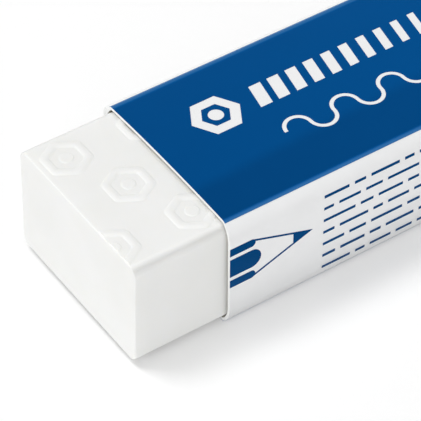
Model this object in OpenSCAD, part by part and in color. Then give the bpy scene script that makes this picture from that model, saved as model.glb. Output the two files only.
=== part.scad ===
/* [Block] */
// Length of the vinyl block
block_l = 65; // [50:1:80]
// Width of the block
block_w = 21.4; // [18:0.2:26]
// Height of the block without its raised pattern
block_h = 13; // [10:0.5:18]
// Radius along the block's four long edges
edge_r = 1.1; // [0.9:0.1:2]

/* [Raised pattern] */
// Height of the pattern above the two broad faces
relief_h = 0.16; // [0.08:0.02:0.3]
// Radius of one motif, from its centre to a corner
motif_r = 3; // [2.4:0.1:3.4]
// Width of a motif's outline
motif_line = 1.3; // [0.6:0.1:1.4]
// Radius of the dot in the middle of a motif
motif_dot_r = 0.85; // [0.4:0.05:0.9]
// Distance between motifs along a row
motif_pitch = 9.3; // [7:0.1:14]
// Distance between the rows
row_pitch = 6.8; // [5.4:0.1:8]
// Distance from the front end to the first whole motif of the middle row
motif_start = 6.5; // [3:0.1:9]

/* [Card sleeve] */
// Thickness of the card
card_t = 0.36; // [0.25:0.01:0.5]
// Outside radius of a fold
fold_r = 0.66; // [0.62:0.01:0.8]
// Bare length of block in front of the sleeve
front_show = 11; // [6:0.2:20]
// Bare length of block behind the sleeve
rear_show = 2.3; // [0.5:0.1:10]
// Gap between the block's sides and the flat middle of the narrow panels
side_gap = 0.35; // [0.3:0.05:0.8]
// Rise of the top panel's middle above its folds
top_bow = 0.25; // [0.1:0.05:0.6]
// Clearance above and below the raised pattern
run_gap = 0.1; // [0.06:0.02:0.3]
// Height of the glue flap left bare above the outer panel
flap_bare = 0.9; // [0.8:0.1:2]
// Gap between the glue flap's lower edge and the base panel
flap_gap = 1.2; // [0.6:0.1:1.5]

/* [Top print] */
// Thickness of the printed ink
ink_t = 0.03; // [0.02:0.01:0.06]
// Length of plain print in front of the white figures
figure_start = 5.1; // [4:0.1:12]
// Length of plain print behind them
figure_end = 3; // [1:0.5:8]
// Distance from the sleeve's middle line to the middle of the bold bars
bar_y = 2.85; // [2:0.05:4]
// Height of the bold bars
bar_h = 3.4; // [2:0.1:4]
// Width of the first and widest bar
bar_w = 1.5; // [0.8:0.1:1.8]
// Width of the last and thinnest bar
bar_end_w = 0.5; // [0.3:0.1:0.8]
// Distance between bars
bar_pitch = 2.3; // [2:0.1:4]
// Lean of the bars from square, in degrees
bar_lean = 12; // [0:1:25]
// Distance from the sleeve's middle line to the middle of the wavy line
wave_y = 3.4; // [2:0.1:5]
// Radius of the wavy line's bends
wave_r = 1.5; // [1:0.1:2]
// Width of the wavy line
wave_line = 0.45; // [0.3:0.05:0.8]

/* [Side print] */
// Height of the pencil figure
pencil_h = 5.4; // [4.4:0.2:7]
// Length of the pencil figure
pencil_l = 10.2; // [8:0.2:14]
// Length of the striped body in front of its cone
pencil_body_l = 2.6; // [1.5:0.1:4]
// Length of the dark lead at the tip
lead_l = 2.4; // [1:0.1:4]
// Height of the figure's middle above the sleeve's own middle
pencil_rise = 1.3; // [0:0.1:2]
// Height of the two outer stripes
stripe_h = 1; // [0.6:0.1:1.2]
// Gap between stripes
stripe_gap = 0.5; // [0.3:0.1:0.8]
// Width of the cone's drawn lines
cone_line = 0.22; // [0.15:0.01:0.4]
// Distance from the sleeve's front edge to the small print
small_start = 11.6; // [11:0.2:20]
// Distance between lines of small print
small_pitch = 1.66; // [1.2:0.02:1.8]
// Height of one dash of small print
small_h = 0.35; // [0.25:0.05:0.8]
// Gap between dashes
small_gap = 0.7; // [0.4:0.1:1.2]

/* [Hidden] */
$fn = 48;
fold_steps = 8;
shoulder_steps = 6;
panel_steps = 16;
// Depth to which the raised pattern's solids are rooted in the block
relief_root = 0.4;
// Share of the edge radius by which the folds tuck in over the block's corners
tuck_share = 0.35;
// Height over which a narrow panel bulges out from its fold, for each unit of the edge radius
shoulder_share = 1.65;
// Least angles round a fold, from the narrow panel, at which the two blue prints stop
top_edge = 45;
base_edge = 60;
// Rows of motifs either side of the middle row
side_rows = 1;
// Shift between neighbouring rows, as a share of the pitch
row_shift = 1 / 3;
small_lines = 7;
small_words = 6;
// Lengths of the dashes, used in turn
words = [3.1, 1.4, 3.6, 1.2, 2.7, 2.1, 4.0, 1.6];
words_step = 3;
// Reach of a cut beyond the outline that it opens
cut_over = 1;

// Block
front_x = -block_l / 2;
block_z = ink_t + card_t + run_gap + relief_h;
flat_w = block_w - 2 * edge_r;
motifs = ceil(block_l / motif_pitch);

// Sleeve
sleeve_x = front_x + front_show;
sleeve_l = block_l - front_show - rear_show;
card_h = block_h + 2 * (relief_h + run_gap + card_t);
tuck = tuck_share * edge_r;
side_bow = side_gap + tuck;
fold_y = block_w / 2 - tuck + card_t - fold_r;
low_z = ink_t + fold_r;
high_z = ink_t + card_h - fold_r;
mid_z = (low_z + high_z) / 2;

// A narrow panel bulges out from each fold in a shoulder arc, and is flat between the two
shoulder_h = shoulder_share * edge_r;
lower_z = low_z + shoulder_h;
upper_z = high_z - shoulder_h;
side_r = bow_radius(shoulder_h, side_bow);
side_y = fold_y + fold_r + side_bow - side_r;
side_a = asin(shoulder_h / (side_r - fold_r));
top_stop = max(top_edge, side_a);
base_stop = max(base_edge, side_a);

// The top panel is one shallow arc
top_r = bow_radius(fold_y, top_bow);
top_z = high_z + fold_r + top_bow - top_r;
top_a = asin(fold_y / (top_r - fold_r));

// The outer far panel lies on the glue flap, one card further out
lap_r = side_r + card_t;
lap_a = asin(shoulder_h / (lap_r - fold_r));
lap_y = side_y + (lap_r - fold_r) * cos(lap_a);
lap_top_a = asin((high_z + fold_r - flap_bare - upper_z) / side_r);
flap_low_a = asin((ink_t + card_t + flap_gap - lower_z) / side_r);

// Pencil figure
cone_slope = pencil_h / 2 / (pencil_l - pencil_body_l);
cone_side = cone_line * sqrt(1 + cone_slope * cone_slope);
core_h = pencil_h - 2 * (stripe_h + stripe_gap);

// Outside radius of a bowed panel, from half the distance between its folds' centres
function bow_radius(half, bow) = (half * half + bow * bow) / (2 * bow) + fold_r;

function at(centre, r, angle) = centre + r * [cos(angle), sin(angle)];

// Points of an arc without its last one, which the next stretch begins with
function arc(centre, r, from, to, steps) =
    [for (i = [0 : steps - 1]) at(centre, r, from + (to - from) * i / steps)];

function backwards(points) = [for (i = [len(points) - 1 : -1 : 0]) points[i]];

// The sheet's face from the far top fold over the top and down the near side, at a depth below
// the outside
function wrap(depth) = concat(
    arc([fold_y, high_z], fold_r - depth, side_a, 90 - top_a, fold_steps),
    arc([0, top_z], top_r - depth, 90 - top_a, 90 + top_a, panel_steps),
    arc([-fold_y, high_z], fold_r - depth, 90 + top_a, 180 - side_a, fold_steps),
    near_side(-depth),
    arc([-fold_y, low_z], fold_r - depth, 180 + side_a, 270, fold_steps),
    [at([-fold_y, low_z], fold_r - depth, 270)],
    arc([lap_y, low_z], fold_r - depth, 270, 360 - lap_a, fold_steps));

// Outside of the far side, from the bottom fold up: the lap, then the bare strip of the glue flap
far_outside = concat(
    arc([side_y, lower_z], lap_r, -lap_a, 0, shoulder_steps),
    [at([side_y, lower_z], lap_r, 0)],
    arc([side_y, upper_z], lap_r, 0, lap_top_a, shoulder_steps),
    [at([side_y, upper_z], lap_r, lap_top_a)],
    arc([side_y, upper_z], side_r, lap_top_a, side_a, shoulder_steps));

// Inside of the far side, from the bottom fold up: the lap, then the glue flap
far_inside = concat(
    arc([side_y, lower_z], side_r, -lap_a, flap_low_a, shoulder_steps),
    [at([side_y, lower_z], side_r, flap_low_a)],
    arc([side_y, lower_z], side_r - card_t, flap_low_a, 0, shoulder_steps),
    [at([side_y, lower_z], side_r - card_t, 0)],
    arc([side_y, upper_z], side_r - card_t, 0, side_a, shoulder_steps));

// Face of the top print at a height above the card
function top_face(rise) = concat(
    arc([fold_y, high_z], fold_r + rise, top_stop, 90 - top_a, fold_steps),
    arc([0, top_z], top_r + rise, 90 - top_a, 90 + top_a, panel_steps),
    arc([-fold_y, high_z], fold_r + rise, 90 + top_a, 180 - top_stop, fold_steps),
    [at([-fold_y, high_z], fold_r + rise, 180 - top_stop)]);

// Face of the base print at a height above the card
function base_face(rise) = concat(
    arc([-fold_y, low_z], fold_r + rise, 180 + base_stop, 270, fold_steps),
    [at([-fold_y, low_z], fold_r + rise, 270)],
    arc([lap_y, low_z], fold_r + rise, 270, 360 - base_stop, fold_steps),
    [at([lap_y, low_z], fold_r + rise, 360 - base_stop)]);

// Face of the near narrow panel at a height above the card's outside
function near_side(rise) = concat(
    arc([-side_y, upper_z], side_r + rise, 180 - side_a, 180, shoulder_steps),
    [at([-side_y, upper_z], side_r + rise, 180)],
    arc([-side_y, lower_z], side_r + rise, 180, 180 + side_a, shoulder_steps));
function near_face(rise) =
    concat(near_side(rise), [at([-side_y, lower_z], side_r + rise, 180 + side_a)]);

// Distance from a line's start to its word number k
function word_x(line, k) = k == 0 ? 0 : word_x(line, k - 1) + word(line, k - 1) + small_gap;
function word(line, k) = words[(line * words_step + k) % len(words)];

// Draws a section, given as [across, up], along the block's length
module along(start, length) {
    translate([start, 0, 0])
        rotate([90, 0, 90])
            linear_extrude(length)
                children();
}

module ink(faces) {
    along(sleeve_x, sleeve_l)
        polygon(concat(faces[1], backwards(faces[0])));
}

// End of a hexagonal pencil: a ring with a round core
module motif() {
    difference() {
        circle(motif_r, $fn = 6);
        circle(motif_r - motif_line, $fn = 6);
    }
    circle(motif_dot_r);
}

module motif_rows() {
    intersection() {
        translate([0, -flat_w / 2])
            square([block_l, flat_w]);
        for (row = [-side_rows : side_rows])
            for (i = [-1 : motifs])
                translate([motif_start + (i - row * row_shift) * motif_pitch, row * row_pitch])
                    motif();
    }
}

module block_section() {
    polygon(concat(
        arc([block_w / 2 - edge_r, edge_r], edge_r, -90, 0, fold_steps),
        [[block_w / 2, edge_r]],
        arc([block_w / 2 - edge_r, block_h - edge_r], edge_r, 0, 90, fold_steps),
        [[block_w / 2 - edge_r, block_h]],
        arc([edge_r - block_w / 2, block_h - edge_r], edge_r, 90, 180, fold_steps),
        [[-block_w / 2, block_h - edge_r]],
        arc([edge_r - block_w / 2, edge_r], edge_r, 180, 270, fold_steps),
        [[edge_r - block_w / 2, 0]]));
}

module relief(z) {
    translate([front_x, 0, z])
        linear_extrude(relief_h + relief_root)
            motif_rows();
}

module eraser_block() {
    color("white") {
        translate([0, 0, block_z])
            along(front_x, block_l)
                block_section();
        relief(block_z + block_h - relief_root);
        relief(block_z - relief_h);
    }
}

module card_sleeve() {
    color("whitesmoke")
        along(sleeve_x, sleeve_l)
            difference() {
                polygon(concat(far_outside, wrap(0)));
                polygon(concat(far_inside, wrap(card_t)));
            }
}

// Bold bars that thin out towards the rear
module bars(length) {
    count = floor((length - bar_w) / bar_pitch);
    for (i = [0 : count]) {
        w = bar_w + (bar_end_w - bar_w) * i / count;
        lean = bar_h * tan(bar_lean);
        translate([i * bar_pitch, -bar_h / 2])
            polygon([[0, 0], [w, 0], [w + lean, bar_h], [lean, bar_h]]);
    }
}

// A line of half rings, bent up and down in turn
module wave(length) {
    for (i = [0 : floor(length / (2 * wave_r)) - 1])
        translate([(2 * i + 1) * wave_r, 0])
            rotate(i % 2 * 180)
                intersection() {
                    difference() {
                        circle(wave_r + wave_line / 2);
                        circle(wave_r - wave_line / 2);
                    }
                    translate([-2 * wave_r, 0])
                        square([4 * wave_r, 2 * wave_r]);
                }
}

module white_figures() {
    row_x = figure_start + 2 * motif_r + bar_w;
    row_l = sleeve_l - row_x - figure_end;
    translate([sleeve_x + figure_start + motif_r, bar_y])
        motif();
    translate([sleeve_x + row_x, bar_y])
        bars(row_l);
    translate([sleeve_x + row_x, -wave_y])
        wave(row_l);
}

module top_print() {
    color("royalblue")
        difference() {
            ink([top_face(0), top_face(ink_t)]);
            linear_extrude(2 * card_h)
                white_figures();
        }
}

module base_print() {
    color("royalblue")
        ink([base_face(0), base_face(ink_t)]);
}

module stripe(height) {
    translate([0, -height / 2])
        square([pencil_body_l, height]);
    translate([pencil_body_l, 0])
        circle(height / 2);
}

// A plain pencil that runs in from the sleeve's front edge
module pencil() {
    tip_x = pencil_l - cone_side / cone_slope;
    stripe(core_h);
    for (side = [-1, 1])
        translate([0, side * (pencil_h - stripe_h) / 2])
            stripe(stripe_h);
    difference() {
        polygon([[pencil_body_l, -pencil_h / 2], [pencil_l, 0], [pencil_body_l, pencil_h / 2]]);
        polygon([[pencil_body_l - cut_over, -pencil_h / 2], [pencil_body_l, cone_side - pencil_h / 2],
            [tip_x, 0], [pencil_body_l, pencil_h / 2 - cone_side], [pencil_body_l - cut_over, pencil_h / 2]]);
    }
    intersection() {
        polygon([[pencil_body_l, -pencil_h / 2], [pencil_l, 0], [pencil_body_l, pencil_h / 2]]);
        translate([pencil_l - lead_l, -pencil_h / 2])
            square([lead_l, pencil_h]);
    }
}

module small_print() {
    for (line = [0 : small_lines - 1])
        for (k = [0 : small_words - 1])
            translate([word_x(line, k), ((small_lines - 1) / 2 - line) * small_pitch - small_h / 2])
                square([word(line, k), small_h]);
}

module side_print() {
    color("royalblue")
        intersection() {
            ink([near_face(0), near_face(ink_t)]);
            translate([sleeve_x, 0, mid_z])
                rotate([90, 0, 0])
                    linear_extrude(block_w) {
                        translate([0, pencil_rise])
                            pencil();
                        translate([small_start, 0])
                            small_print();
                    }
        }
}

eraser_block();
card_sleeve();
top_print();
base_print();
side_print();
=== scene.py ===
import math

import bmesh
import bpy
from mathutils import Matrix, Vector


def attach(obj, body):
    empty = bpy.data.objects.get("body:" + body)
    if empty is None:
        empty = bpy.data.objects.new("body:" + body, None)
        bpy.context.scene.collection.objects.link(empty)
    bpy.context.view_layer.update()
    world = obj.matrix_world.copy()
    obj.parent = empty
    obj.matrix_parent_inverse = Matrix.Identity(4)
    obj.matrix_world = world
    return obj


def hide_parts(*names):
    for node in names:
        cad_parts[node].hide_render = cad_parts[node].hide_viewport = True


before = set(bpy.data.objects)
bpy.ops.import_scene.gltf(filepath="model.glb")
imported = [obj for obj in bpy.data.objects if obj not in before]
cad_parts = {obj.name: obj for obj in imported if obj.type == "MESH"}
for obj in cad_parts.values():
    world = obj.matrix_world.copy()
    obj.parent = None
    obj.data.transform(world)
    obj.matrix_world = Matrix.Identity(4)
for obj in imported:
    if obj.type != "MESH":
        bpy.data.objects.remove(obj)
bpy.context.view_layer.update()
mm = 0.001
noiseSpread = (0.3, 0.7)  # most of a noise's values lie between these two


# small helpers for meshes and shader nodes

def newPiece(name, bm, materials, body):
    bmesh.ops.scale(bm, vec=(mm, mm, mm), verts=bm.verts)
    mesh = bpy.data.meshes.new(name)
    bm.to_mesh(mesh)
    bm.free()
    piece = bpy.data.objects.new(name, mesh)
    bpy.context.scene.collection.objects.link(piece)
    for material in materials:
        mesh.materials.append(material)
    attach(piece, body)
    return piece


# draws an arc in the YZ plane on from a vertex, anticlockwise, and gives its last vertex
def bend(bm, vertex, centre, degrees, steps):
    turned = bmesh.ops.spin(bm, geom=[vertex], cent=(0, centre[0], centre[1]), axis=(1, 0, 0),
                            angle=math.radians(degrees), steps=steps, use_duplicate=False)
    return [g for g in turned["geom_last"] if isinstance(g, bmesh.types.BMVert)][0]


# draws a straight line in the YZ plane on from a vertex
def reach(bm, vertex, y, z):
    made = bmesh.ops.extrude_vert_indiv(bm, verts=[vertex])["verts"][0]
    made.co = Vector((vertex.co.x, y, z))
    return made


def around(centre, radius, degrees):
    a = math.radians(degrees)
    return (centre[0] + radius * math.cos(a), centre[1] + radius * math.sin(a))


def newMaterial(name, roughness):
    material = bpy.data.materials.new(name)
    material.use_nodes = True
    nodes = material.node_tree.nodes
    shader = nodes["Principled BSDF"]
    shader.inputs["Roughness"].default_value = roughness
    place = nodes.new("ShaderNodeTexCoord")
    return material, shader, place.outputs["Object"]


def noise(material, place, scale, detail, stretch=(1, 1, 1)):
    nodes, links = material.node_tree.nodes, material.node_tree.links
    mapping = nodes.new("ShaderNodeMapping")
    mapping.inputs["Scale"].default_value = stretch
    texture = nodes.new("ShaderNodeTexNoise")
    texture.inputs["Scale"].default_value = scale
    texture.inputs["Detail"].default_value = detail
    links.new(place, mapping.inputs["Vector"])
    links.new(mapping.outputs["Vector"], texture.inputs["Vector"])
    return texture.outputs["Fac"]


def ramp(material, value, stops):
    node = material.node_tree.nodes.new("ShaderNodeValToRGB")
    material.node_tree.links.new(value, node.inputs["Fac"])
    marks = node.color_ramp.elements
    while len(marks) < len(stops):
        marks.new(0.5)
    for mark, (position, colour) in zip(marks, stops):
        mark.position = position
        mark.color = (*colour, 1)
    return node.outputs["Color"]


def mottled(material, place, pattern, colours):
    return ramp(material, noise(material, place, *pattern), tuple(zip(noiseSpread, colours)))


# bumps a surface with a noise, over the bumps that it has already
def roughen(material, shader, place, finish, under=None):
    node = material.node_tree.nodes.new("ShaderNodeBump")
    node.inputs["Distance"].default_value = finish["depth"]
    node.inputs["Strength"].default_value = finish["strength"]
    material.node_tree.links.new(noise(material, place, *finish["pattern"]), node.inputs["Height"])
    if under is not None:
        material.node_tree.links.new(under, node.inputs["Normal"])
    material.node_tree.links.new(node.outputs["Normal"], shader.inputs["Normal"])
    return node.outputs["Normal"]


# camera, lights and floor

view = {
    "place": (-126.0, -160.346, 192.211),
    "azimuth": -34.4449,
    "elevation": 43.9838,
    "lens": 221.44,
    "sensor": 36,
    "clip": (0.01, 20),
}


def makeCamera():
    data = bpy.data.cameras.new("camera")
    data.lens = view["lens"]
    data.sensor_width = view["sensor"]
    data.clip_start, data.clip_end = view["clip"]
    camera = bpy.data.objects.new("camera", data)
    bpy.context.scene.collection.objects.link(camera)
    camera.location = Vector(view["place"]) * mm
    camera.rotation_euler = (math.radians(90 - view["elevation"]), 0, math.radians(view["azimuth"]))
    bpy.context.scene.camera = camera
    bpy.context.scene.view_settings.view_transform = "Standard"


studio = {
    "world": 0.65,
    "flag": {"towards": (0.407, 0.595, 0.693), "from": 27, "to": 14, "left": 0.05},
    "key": {"place": (-0.28, 0.39, 1.12), "size": 0.42, "watts": 5.5},
    "fill": {"place": (-1.0, -0.6, 0.4), "size": 0.8, "watts": 3.0},
    "floorSize": 3,
    "floorDrop": 0.00002,
    "floorColour": 0.9,
    "floorRoughness": 0.9,
    "floorShine": 0.1,
    "floorLift": 0.105,
}


def makeLamp(name, settings):
    data = bpy.data.lights.new(name, "AREA")
    data.energy = settings["watts"]
    data.size = settings["size"]
    lamp = bpy.data.objects.new(name, data)
    bpy.context.scene.collection.objects.link(lamp)
    lamp.location = settings["place"]
    lamp.rotation_euler = (-Vector(settings["place"])).to_track_quat("-Z", "Y").to_euler()


# a plain white room with one dark flag on its far side, which the gloss of the print mirrors
def makeWorld():
    world = bpy.data.worlds.new("studioWorld")
    bpy.context.scene.world = world
    world.use_nodes = True
    nodes, links = world.node_tree.nodes, world.node_tree.links
    flag = studio["flag"]
    where = nodes.new("ShaderNodeTexCoord")
    dot = nodes.new("ShaderNodeVectorMath")
    dot.operation = "DOT_PRODUCT"
    dot.inputs[1].default_value = Vector(flag["towards"]).normalized()
    links.new(where.outputs["Generated"], dot.inputs[0])
    shade = nodes.new("ShaderNodeMapRange")
    shade.interpolation_type = "SMOOTHSTEP"
    shade.inputs["From Min"].default_value = math.cos(math.radians(flag["from"]))
    shade.inputs["From Max"].default_value = math.cos(math.radians(flag["to"]))
    shade.inputs["To Min"].default_value = 1
    shade.inputs["To Max"].default_value = flag["left"]
    links.new(dot.outputs["Value"], shade.inputs["Value"])
    rays = nodes.new("ShaderNodeLightPath")
    seen = rays.outputs["Is Camera Ray"]
    for kind in ("Is Glossy Ray", "Is Transmission Ray"):
        both = nodes.new("ShaderNodeMath")
        both.operation = "MAXIMUM"
        links.new(seen, both.inputs[0])
        links.new(rays.outputs[kind], both.inputs[1])
        seen = both.outputs[0]
    level = nodes.new("ShaderNodeMapRange")
    level.inputs["To Min"].default_value = studio["world"]
    level.inputs["To Max"].default_value = 1
    links.new(seen, level.inputs["Value"])
    strength = nodes.new("ShaderNodeMath")
    strength.operation = "MULTIPLY"
    links.new(level.outputs["Result"], strength.inputs[0])
    links.new(shade.outputs["Result"], strength.inputs[1])
    sky = nodes["Background"]
    sky.inputs["Color"].default_value = (1, 1, 1, 1)
    links.new(strength.outputs[0], sky.inputs["Strength"])


def makeStudio():
    makeWorld()
    makeLamp("keyLamp", studio["key"])
    makeLamp("fillLamp", studio["fill"])
    material, shader = newMaterial("paperFloor", studio["floorRoughness"])[:2]
    shader.inputs["Base Color"].default_value = (*(studio["floorColour"],) * 3, 1)
    shader.inputs["Specular IOR Level"].default_value = studio["floorShine"]
    nodes, links = material.node_tree.nodes, material.node_tree.links
    rays = nodes.new("ShaderNodeLightPath")
    lift = nodes.new("ShaderNodeEmission")
    lift.inputs["Strength"].default_value = studio["floorLift"]
    add = nodes.new("ShaderNodeAddShader")
    mix = nodes.new("ShaderNodeMixShader")
    links.new(shader.outputs[0], add.inputs[0])
    links.new(lift.outputs[0], add.inputs[1])
    links.new(rays.outputs["Is Camera Ray"], mix.inputs["Fac"])
    links.new(shader.outputs[0], mix.inputs[1])
    links.new(add.outputs[0], mix.inputs[2])
    links.new(mix.outputs[0], nodes["Material Output"].inputs["Surface"])
    bm = bmesh.new()
    bmesh.ops.create_grid(bm, x_segments=1, y_segments=1, size=studio["floorSize"])
    mesh = bpy.data.meshes.new("floor")
    bm.to_mesh(mesh)
    bm.free()
    floor = bpy.data.objects.new("floor", mesh)
    bpy.context.scene.collection.objects.link(floor)
    mesh.materials.append(material)
    floor.location.z = -studio["floorDrop"]


makeCamera()
makeStudio()
print("camera and studio made")


# the vinyl block

vinyl = {
    "length": 65,
    "width": 21.4,
    "height": 13,
    "lowZ": 0.65,
    "edgeRadius": 1.1,
    "endRim": 0.14,
    "edgeSteps": 12,
    "edgeTurn": 52,  # degrees of the fillet, after which it shades as the side does
    "rimSteps": 4,
    "cutLean": 0.018,  # mm that the front cut leans back for each mm of height
    "rimGap": 0.02,  # keeps the raised pattern off the rims and the long edges
    "mergeDistance": 0.001,
    "sharpAngle": 50,
    "onPlane": 0.9999,
    "nearPlane": 0.64,
    "roughness": 0.48,
    "shine": 0.4,
    "colours": ((0.865, 0.868, 0.848), (0.89, 0.892, 0.88)),
    "tone": (160, 2),
    "glow": {"weight": 0.35, "colour": (1, 0.95, 0.85), "depth": 0.0012},
    "swell": {"pattern": (210, 2), "depth": 0.00012, "strength": 0.35},
    "grain": {"pattern": (5200, 3), "depth": 0.000006, "strength": 0.5},
}

relief = {
    "height": 0.16,
    "radius": 3,
    "sides": 6,
    "line": 1.3,
    "dot": 0.85,
    "dotSegments": 24,
    "pitch": 9.3,
    "rows": (-1, 0, 1),
    "rowPitch": 6.8,
    "start": 6.5,
    "root": 0.3,
    "cornerRound": 0.4,
    "cornerSegments": 3,
    "profile": ((0, -0.1), (0.1, 0.42), (0.26, 0.84), (0.5, 1), (0.74, 0.84), (0.9, 0.42), (1, -0.1)),
}


def vinylMaterial():
    material, shader, place = newMaterial("whiteVinyl", vinyl["roughness"])
    colour = mottled(material, place, vinyl["tone"], vinyl["colours"])
    material.node_tree.links.new(colour, shader.inputs["Base Color"])
    shader.inputs["Specular IOR Level"].default_value = vinyl["shine"]
    shader.inputs["Subsurface Weight"].default_value = vinyl["glow"]["weight"]
    shader.inputs["Subsurface Radius"].default_value = vinyl["glow"]["colour"]
    shader.inputs["Subsurface Scale"].default_value = vinyl["glow"]["depth"]
    swelled = roughen(material, shader, place, vinyl["swell"])
    roughen(material, shader, place, vinyl["grain"], under=swelled)
    return material


# one outline of the block at a place along it, drawn in from its full size, as a list of edges
def blockRing(bm, x, inset):
    before = set(bm.verts)
    y, low, r = vinyl["width"] / 2 - inset, vinyl["lowZ"] + inset, vinyl["edgeRadius"] - inset
    high = vinyl["lowZ"] + vinyl["height"] - inset
    steps = vinyl["edgeSteps"]
    end = reach(bm, bm.verts.new((x, y, low + r)), y, high - r)
    end = bend(bm, end, (y - r, high - r), 90, steps)
    end = reach(bm, end, r - y, high)
    end = bend(bm, end, (r - y, high - r), 90, steps)
    end = reach(bm, end, -y, low + r)
    end = bend(bm, end, (r - y, low + r), 90, steps)
    end = reach(bm, end, y - r, low)
    bend(bm, end, (y - r, low + r), 90, steps)
    bmesh.ops.remove_doubles(bm, verts=[v for v in bm.verts if v not in before],
                             dist=vinyl["mergeDistance"])
    ring = [v for v in bm.verts if v not in before]
    if x < 0:
        for vertex in ring:
            vertex.co.x += vinyl["cutLean"] * (vertex.co.z - vinyl["lowZ"] + relief["height"])
    return list(dict.fromkeys(e for v in ring for e in v.link_edges))


def vinylBody():
    bm = bmesh.new()
    rim, steps, half = vinyl["endRim"], vinyl["rimSteps"], vinyl["length"] / 2
    stations = [(rim * (1 - math.cos(a)), rim * (1 - math.sin(a)))
                for a in (math.radians(90 * i / steps) for i in range(steps + 1))]
    places = [(deep - half, inset) for deep, inset in stations]
    places += [(half - deep, inset) for deep, inset in reversed(stations)]
    rings = [blockRing(bm, x, inset) for x, inset in places]
    for one, other in zip(rings, rings[1:]):
        bmesh.ops.bridge_loops(bm, edges=one + other)
    for ring in (rings[0], rings[-1]):
        bmesh.ops.contextual_create(bm, geom=ring)
    bmesh.ops.recalc_face_normals(bm, faces=bm.faces)
    return bm


# a closed pillow profile drawn round a hexagon with rounded corners, or over a round dot
def motif(bm, x, y, z, up):
    before = set(bm.verts)
    outline = bmesh.ops.create_circle(bm, segments=relief["sides"], radius=relief["radius"])["verts"]
    bmesh.ops.bevel(bm, geom=outline, offset=relief["cornerRound"], segments=relief["cornerSegments"],
                    profile=0.5, affect="VERTICES", material=-1)
    ring = [e for e in bm.edges if e.verts[0] not in before and e.verts[1] not in before]
    firstRing = ring
    outline = list(dict.fromkeys(v for e in ring for v in e.verts))
    bmesh.ops.translate(bm, vec=(0, 0, -relief["root"]), verts=outline)
    radius, level = relief["radius"], -relief["root"]
    for across, height in relief["profile"] + ((1, None),):
        wanted = relief["radius"] - across * relief["line"]
        top = -relief["root"] if height is None else height * relief["height"]
        ring, verts = extrudeRing(bm, ring)
        bmesh.ops.scale(bm, vec=(wanted / radius, wanted / radius, 1), verts=verts)
        bmesh.ops.translate(bm, vec=(0, 0, top - level), verts=verts)
        radius, level = wanted, top
    bmesh.ops.bridge_loops(bm, edges=firstRing + ring)
    outline = bmesh.ops.create_circle(bm, segments=relief["dotSegments"], radius=relief["dot"])["verts"]
    ring = list(dict.fromkeys(e for v in outline for e in v.link_edges))
    bmesh.ops.translate(bm, vec=(0, 0, -relief["root"]), verts=outline)
    bmesh.ops.contextual_create(bm, geom=ring)
    radius, level = relief["dot"], -relief["root"]
    for across, height in relief["profile"][:3]:  # only the part that climbs
        wanted = relief["dot"] * (1 - across)
        ring, verts = extrudeRing(bm, ring)
        bmesh.ops.scale(bm, vec=(wanted / radius, wanted / radius, 1), verts=verts)
        bmesh.ops.translate(bm, vec=(0, 0, height * relief["height"] - level), verts=verts)
        radius, level = wanted, height * relief["height"]
    bmesh.ops.contextual_create(bm, geom=ring)
    made = [v for v in bm.verts if v not in before]
    bmesh.ops.scale(bm, vec=(1, 1, up), verts=made)
    bmesh.ops.translate(bm, vec=(x, y, z), verts=made)


def extrudeRing(bm, ring):
    made = bmesh.ops.extrude_edge_only(bm, edges=ring)["geom"]
    edges = [g for g in made if isinstance(g, bmesh.types.BMEdge)]
    return edges, [g for g in made if isinstance(g, bmesh.types.BMVert)]


def reliefMotifs():
    bm = bmesh.new()
    front = -vinyl["length"] / 2
    faces = ((vinyl["lowZ"] + vinyl["height"], 1), (vinyl["lowZ"], -1))
    count = math.ceil(vinyl["length"] / relief["pitch"])
    for z, up in faces:
        for row in relief["rows"]:
            for i in range(-1, count + 1):
                x = front + relief["start"] + (i - row / len(relief["rows"])) * relief["pitch"]
                if abs(x) < vinyl["length"] / 2 + relief["radius"]:
                    motif(bm, x, row * relief["rowPitch"], z, up)
    bmesh.ops.recalc_face_normals(bm, faces=bm.faces)
    flat = vinyl["width"] / 2 - vinyl["edgeRadius"] - vinyl["rimGap"]
    end = front + vinyl["endRim"] + vinyl["rimGap"]
    base = vinyl["lowZ"] - relief["height"]
    for point, normal in (((end, 0, base), (-1, 0, vinyl["cutLean"])), ((-end, 0, 0), (1, 0, 0)),
                          ((0, -flat, 0), (0, -1, 0)), ((0, flat, 0), (0, 1, 0))):
        cut = bmesh.ops.bisect_plane(bm, geom=bm.verts[:] + bm.edges[:] + bm.faces[:], plane_co=point,
                                     plane_no=normal, clear_outer=True)["geom_cut"]
        bmesh.ops.holes_fill(bm, edges=[g for g in cut if isinstance(g, bmesh.types.BMEdge)], sides=0)
    bmesh.ops.recalc_face_normals(bm, faces=bm.faces)
    return bm


# shades a long edge as if it had turned to the side sooner than its fillet does, for a crisper edge
def tighten(normal):
    turn = min(math.degrees(math.atan2(abs(normal.y), abs(normal.z))) / vinyl["edgeTurn"], 1)
    turned = math.radians(90) * turn * turn * (3 - 2 * turn)
    across = math.hypot(normal.y, normal.z)
    return Vector((normal.x, math.copysign(across * math.sin(turned), normal.y),
                   math.copysign(across * math.cos(turned), normal.z)))


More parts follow.
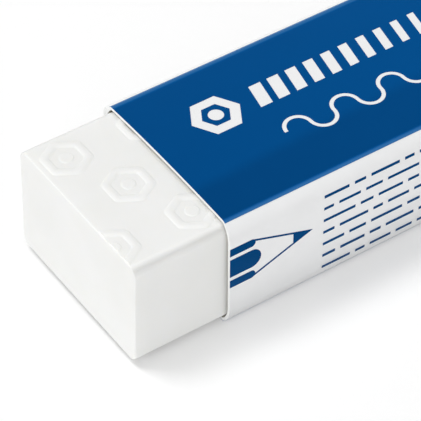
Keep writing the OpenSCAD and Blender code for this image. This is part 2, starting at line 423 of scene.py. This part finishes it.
# gives flat faces their plane's own normal, and curved ones that normal where they leave the plane
def squareNormals(mesh):
    mesh.shade_smooth()
    mesh.set_sharp_from_angle(angle=math.radians(vinyl["sharpAngle"]))
    planes = [Vector(n).normalized() for n in ((0, 0, 1), (0, 0, -1), (0, 1, 0), (0, -1, 0), (1, 0, 0),
                                               (-1, 0, vinyl["cutLean"]))]
    flat = {}
    for polygon in mesh.polygons:
        for plane in planes:
            if polygon.normal.dot(plane) > vinyl["onPlane"]:
                for vertex in polygon.vertices:
                    flat.setdefault(vertex, []).append(plane)
    normals = []
    edgeStart = (vinyl["width"] / 2 - vinyl["edgeRadius"]) * mm
    for polygon in mesh.polygons:
        for loop in polygon.loop_indices:
            near = [n for n in flat.get(mesh.loops[loop].vertex_index, [])
                    if n.dot(polygon.normal) > vinyl["nearPlane"]]
            normal = near[0] if near else mesh.corner_normals[loop].vector.copy()
            normals.append(tighten(normal) if abs(polygon.center.y) > edgeStart else normal)
    mesh.normals_split_custom_set(normals)


def makeBlock():
    material = vinylMaterial()
    block = newPiece("vinyl_block", vinylBody(), [material], "block")
    cutter = newPiece("motif_cutter", reliefMotifs(), [material], "block")
    join = block.modifiers.new("join", "BOOLEAN")
    join.operation = "UNION"
    join.solver = "EXACT"
    join.object = cutter
    bpy.context.view_layer.update()
    evaluated = block.evaluated_get(bpy.context.evaluated_depsgraph_get())
    joined = bpy.data.meshes.new_from_object(evaluated)
    block.modifiers.clear()
    block.data = joined
    bpy.data.objects.remove(cutter)
    squareNormals(joined)
    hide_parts("eraser_block")
    print("vinyl block:", len(joined.polygons), "faces")


makeBlock()


# the card sleeve: one sheet, from the glue flap's edge over the top and back to the lap's edge

card = {
    "start": -21.5,
    "length": 51.7,
    "thickness": 0.35,
    "foldRadius": 0.66,
    "foldY": 10.015,
    "lowZ": 0.69,
    "highZ": 13.61,
    "shoulder": 1.815,
    "sideBow": 0.735,
    "topBow": 0.25,
    "layer": 0.36,  # from the glue flap to the outer panel over it
    "flapBare": 0.9,  # from the top of the fold down to the outer panel's edge
    "flapGap": 1.2,  # from the base panel up to the glue flap's edge
    "ink": 0.03,
    "bulge": {"above": 10, "below": 17},  # degrees that the flat middle shades as if it bent
    "foldSteps": 14,
    "sideSteps": 10,
    "topSteps": 24,
    "sharpAngle": 40,
    "onSection": 0.9,
}

# the card's three faces, in the order in which the sheet's thickness takes them
cardFaces = (
    {
        "name": "coatedCard",
        "roughness": 0.3,
        "colours": ((0.9, 0.905, 0.91), (0.92, 0.925, 0.93)),
        "tone": (420, 3),
        "grain": {"pattern": (1500, 3), "depth": 0.00001, "strength": 0.3},
    },
    {
        "name": "plainCard",
        "roughness": 0.75,
        "colours": ((0.6, 0.58, 0.5), (0.69, 0.67, 0.59)),
        "tone": (900, 4, (0.25, 1, 1)),
        "grain": {"pattern": (2600, 4, (0.3, 1, 1)), "depth": 0.00002, "strength": 0.5},
    },
    {
        "name": "rawCardEdge",
        "roughness": 0.85,
        "colours": ((0.91, 0.92, 0.91), (0.97, 0.98, 0.97)),
        "tone": (5000, 3),
        "grain": {"pattern": (9000, 3), "depth": 0.00002, "strength": 0.5},
    },
)


def bowRadius(half, bow):
    return (half * half + bow * bow) / (2 * bow) + card["foldRadius"]


def sectionValues():
    s = dict(card)
    s["lowerZ"] = s["lowZ"] + s["shoulder"]
    s["upperZ"] = s["highZ"] - s["shoulder"]
    s["sideR"] = bowRadius(s["shoulder"], s["sideBow"])
    s["sideY"] = s["foldY"] + s["foldRadius"] + s["sideBow"] - s["sideR"]
    s["sideA"] = math.degrees(math.asin(s["shoulder"] / (s["sideR"] - s["foldRadius"])))
    s["topR"] = bowRadius(s["foldY"], s["topBow"])
    s["topZ"] = s["highZ"] + s["foldRadius"] + s["topBow"] - s["topR"]
    s["topA"] = math.degrees(math.asin(s["foldY"] / (s["topR"] - s["foldRadius"])))
    s["lapR"] = s["sideR"] + s["layer"]
    s["lapA"] = math.degrees(math.asin(s["shoulder"] / (s["lapR"] - s["foldRadius"])))
    s["lapY"] = s["sideY"] + (s["lapR"] - s["foldRadius"]) * math.cos(math.radians(s["lapA"]))
    lapTop = s["highZ"] + s["foldRadius"] - s["flapBare"] - s["upperZ"]
    s["lapTopA"] = math.degrees(math.asin(lapTop / s["sideR"]))
    flapLow = s["ink"] + s["layer"] + s["flapGap"] - s["lowerZ"]
    s["flapLowA"] = math.degrees(math.asin(flapLow / s["sideR"]))
    return s


section = sectionValues()


# normal of the sleeve's section, where the narrow panels' flat middles shade as a slight bulge
def profileNormal(y, z):
    s = section
    side = 1 if y > 0 else -1
    foldZ = s["highZ"] if z > s["lowerZ"] else s["lowZ"]
    lapped = s["lapY"] if y > 0 and z < s["lowerZ"] and abs(y) > s["lapY"] else s["foldY"]
    turned = math.degrees(math.atan2(abs(z - foldZ), abs(y) - lapped))
    if abs(y) <= s["foldY"]:
        wanted = Vector((0, y, z - s["topZ"])) if z > s["highZ"] else Vector((0, 0, -1))
    elif (z > s["highZ"] or z < s["lowZ"]) and turned > s["sideA"]:
        wanted = Vector((0, side * (abs(y) - lapped), z - foldZ))
    elif z > s["upperZ"] or z < s["lowerZ"]:
        middle = s["upperZ"] if z > s["upperZ"] else s["lowerZ"]
        least = s["bulge"]["above" if z > s["upperZ"] else "below"]
        bent = math.degrees(math.atan2(abs(z - middle), abs(y) - s["sideY"]))
        bent = math.radians(least + bent * (1 - least / s["sideA"]))
        wanted = Vector((0, side * math.cos(bent), math.copysign(math.sin(bent), z - middle)))
    else:
        up = (z - s["lowerZ"]) / (s["upperZ"] - s["lowerZ"])
        bent = math.radians(up * s["bulge"]["above"] - (1 - up) * s["bulge"]["below"])
        wanted = Vector((0, side * math.cos(bent), math.sin(bent)))
    return wanted.normalized()


def cardMaterial(face):
    material, shader, place = newMaterial(face["name"], face["roughness"])
    colour = mottled(material, place, face["tone"], face["colours"])
    material.node_tree.links.new(colour, shader.inputs["Base Color"])
    roughen(material, shader, place, face["grain"])
    return material


# shades the faces in the mesh's first material by the section's normals, and leaves the others
def shadeProfile(mesh):
    mesh.set_sharp_from_angle(angle=math.radians(card["sharpAngle"]))
    normals = []
    for polygon in mesh.polygons:
        for loop in polygon.loop_indices:
            at = mesh.vertices[mesh.loops[loop].vertex_index].co / mm
            wanted = profileNormal(at.y, at.z)
            same = polygon.normal.dot(wanted)
            if polygon.material_index == 0 and abs(same) > card["onSection"]:
                normals.append(wanted * math.copysign(1, same))
            else:
                normals.append(mesh.corner_normals[loop].vector.copy())
    mesh.normals_split_custom_set(normals)


def makeSleeve():
    s = section
    foldSteps, sideSteps, topSteps = s["foldSteps"], s["sideSteps"], s["topSteps"]
    bm = bmesh.new()
    y, z = around((s["sideY"], s["lowerZ"]), s["sideR"], s["flapLowA"])
    end = bm.verts.new((s["start"], y, z))
    end = bend(bm, end, (s["sideY"], s["lowerZ"]), -s["flapLowA"], sideSteps)
    end = reach(bm, end, s["sideY"] + s["sideR"], s["upperZ"])
    end = bend(bm, end, (s["sideY"], s["upperZ"]), s["sideA"], sideSteps)
    end = bend(bm, end, (s["foldY"], s["highZ"]), 90 - s["topA"] - s["sideA"], foldSteps)
    end = bend(bm, end, (0, s["topZ"]), 2 * s["topA"], topSteps)
    end = bend(bm, end, (-s["foldY"], s["highZ"]), 90 - s["topA"] - s["sideA"], foldSteps)
    end = bend(bm, end, (-s["sideY"], s["upperZ"]), s["sideA"], sideSteps)
    end = reach(bm, end, -s["sideY"] - s["sideR"], s["lowerZ"])
    end = bend(bm, end, (-s["sideY"], s["lowerZ"]), s["sideA"], sideSteps)
    end = bend(bm, end, (-s["foldY"], s["lowZ"]), 90 - s["sideA"], foldSteps)
    end = reach(bm, end, s["lapY"], s["lowZ"] - s["foldRadius"])
    end = bend(bm, end, (s["lapY"], s["lowZ"]), 90 - s["lapA"], foldSteps)
    end = bend(bm, end, (s["sideY"], s["lowerZ"]), s["lapA"], sideSteps)
    end = reach(bm, end, s["sideY"] + s["lapR"], s["upperZ"])
    bend(bm, end, (s["sideY"], s["upperZ"]), s["lapTopA"], sideSteps)
    made = bmesh.ops.extrude_edge_only(bm, edges=bm.edges[:])["geom"]
    verts = [g for g in made if isinstance(g, bmesh.types.BMVert)]
    bmesh.ops.translate(bm, vec=(s["length"], 0, 0), verts=verts)
    bmesh.ops.reverse_faces(bm, faces=bm.faces)
    for face in bm.faces:
        face.smooth = True
    sleeve = newPiece("sleeve_card", bm, [cardMaterial(face) for face in cardFaces], "sleeve")
    # the sheet is drawn by its outside, so its thickness goes inwards
    thick = sleeve.modifiers.new("thickness", "SOLIDIFY")
    thick.thickness = s["thickness"] * mm
    thick.offset = -1
    thick.use_even_offset = True
    thick.material_offset = 1
    thick.material_offset_rim = 2
    bpy.context.view_layer.update()
    mesh = bpy.data.meshes.new_from_object(sleeve.evaluated_get(bpy.context.evaluated_depsgraph_get()))
    sleeve.modifiers.clear()
    sleeve.data = mesh
    shadeProfile(mesh)
    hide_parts("card_sleeve")
    print("card sleeve made")


makeSleeve()


# the print: merged copies of the CAD nodes, with the section's own normals for an even gloss

ink = {
    # the top print runs from dark to light by painted light and a painted reflection, and on to the
    # third colour by a painted highlight
    "dark": (0.0, 0.0575, 0.205),
    "light": (0.0, 0.088, 0.31),
    # painted highlight: the colour that the folds are lightened to, standing in for the gloss catching
    # the light
    "foldHighlight": (0.025, 0.145, 0.375),
    "side": ((0.0, 0.056, 0.19), (0.0, 0.064, 0.215)),
    # painted light and reflection: how much lighter the ink gets towards the rear and across the far
    # band, beside the ink's own random mottle
    "along": 0.45,
    "across": 0.4,
    "mottle": 0.12,
    # where the painted reflection band lies across the top panel, and how it slants along it
    "bandY": (-6.3, -4.3),
    "bandSlant": 0.04,
    "foldY": (9.72, 10.3),
    "foldShift": 0.2,  # the painted highlight reaches further in on the far fold than on the near one
    "tint": (0.26, 0.56, 1),
    "tone": (300, 2),
    "grain": {"pattern": (2600, 2), "depth": 0.000006, "strength": 0.3},
    "mergeDistance": 0.002,
}


# a value that goes from 0 to 1 as another one crosses a range
def step(material, value, start, end, smooth=False):
    node = material.node_tree.nodes.new("ShaderNodeMapRange")
    node.interpolation_type = "SMOOTHSTEP" if smooth else "LINEAR"
    node.inputs["From Min"].default_value = start
    node.inputs["From Max"].default_value = end
    material.node_tree.links.new(value, node.inputs["Value"])
    return node.outputs["Result"]


def timesPlus(material, value, factor, added):
    node = material.node_tree.nodes.new("ShaderNodeMath")
    node.operation = "MULTIPLY_ADD"
    node.inputs[1].default_value = factor
    material.node_tree.links.new(value, node.inputs[0])
    if isinstance(added, (int, float)):
        node.inputs[2].default_value = added
    else:
        material.node_tree.links.new(added, node.inputs[2])
    return node.outputs[0]


# painted light on the ink: it gets lighter towards the sleeve's rear as painted light, along a broad
# band on its far side as a painted reflection, and over the folds as a painted highlight; only the
# mottle is the ink's own uneven tone
def panelToneAndPaintedLight(material, place):
    split = material.node_tree.nodes.new("ShaderNodeSeparateXYZ")
    material.node_tree.links.new(place, split.inputs[0])
    x, y = split.outputs["X"], split.outputs["Y"]
    rear = card["start"] + card["length"]
    # painted light: lighter towards the sleeve's rear
    along = step(material, x, card["start"] * mm, rear * mm)
    # painted reflection: a broad lighter band on the top panel's far side
    slanted = timesPlus(material, x, -ink["bandSlant"], y)
    low, high = (v - ink["bandSlant"] * card["start"] for v in ink["bandY"])
    across = step(material, slanted, low * mm, high * mm, smooth=True)
    mottle = noise(material, place, *ink["tone"])
    tone = timesPlus(material, along, ink["along"], timesPlus(material, across, ink["across"],
                timesPlus(material, mottle, ink["mottle"], -ink["mottle"] / 2)))
    # painted highlight over both folds, shifted so that it reaches further in on the far one
    beyond = material.node_tree.nodes.new("ShaderNodeMath")
    beyond.operation = "ABSOLUTE"
    material.node_tree.links.new(timesPlus(material, y, 1, ink["foldShift"] * mm), beyond.inputs[0])
    foldHighlight = step(material, beyond.outputs[0], ink["foldY"][0] * mm, ink["foldY"][1] * mm, smooth=True)
    return ramp(material, timesPlus(material, tone, 0.5, foldHighlight),
                ((0, ink["dark"]), (0.5, ink["light"]), (1, ink["foldHighlight"])))


def sideTone(material, place):
    return mottled(material, place, ink["tone"], ink["side"])


def inkMaterial(name, roughness, shine, tone):
    material, shader, place = newMaterial(name, roughness)
    material.node_tree.links.new(tone(material, place), shader.inputs["Base Color"])
    shader.inputs["Specular IOR Level"].default_value = shine
    shader.inputs["Specular Tint"].default_value = (*ink["tint"], 1)
    roughen(material, shader, place, ink["grain"])
    return material


def makePrint(node, material):
    bm = bmesh.new()
    bm.from_mesh(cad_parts[node].data)
    bmesh.ops.remove_doubles(bm, verts=bm.verts, dist=ink["mergeDistance"] * mm)
    bmesh.ops.scale(bm, vec=(1 / mm,) * 3, verts=bm.verts)
    for face in bm.faces:
        face.smooth = True
    piece = newPiece(node + "_ink", bm, [material], "sleeve")
    shadeProfile(piece.data)
    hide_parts(node)


gloss = inkMaterial("glossInk", roughness=0.18, shine=0.5, tone=panelToneAndPaintedLight)
makePrint("top_print", gloss)
makePrint("base_print", gloss)
makePrint("side_print", inkMaterial("sideInk", roughness=0.3, shine=0.02, tone=sideTone))
print("print made")
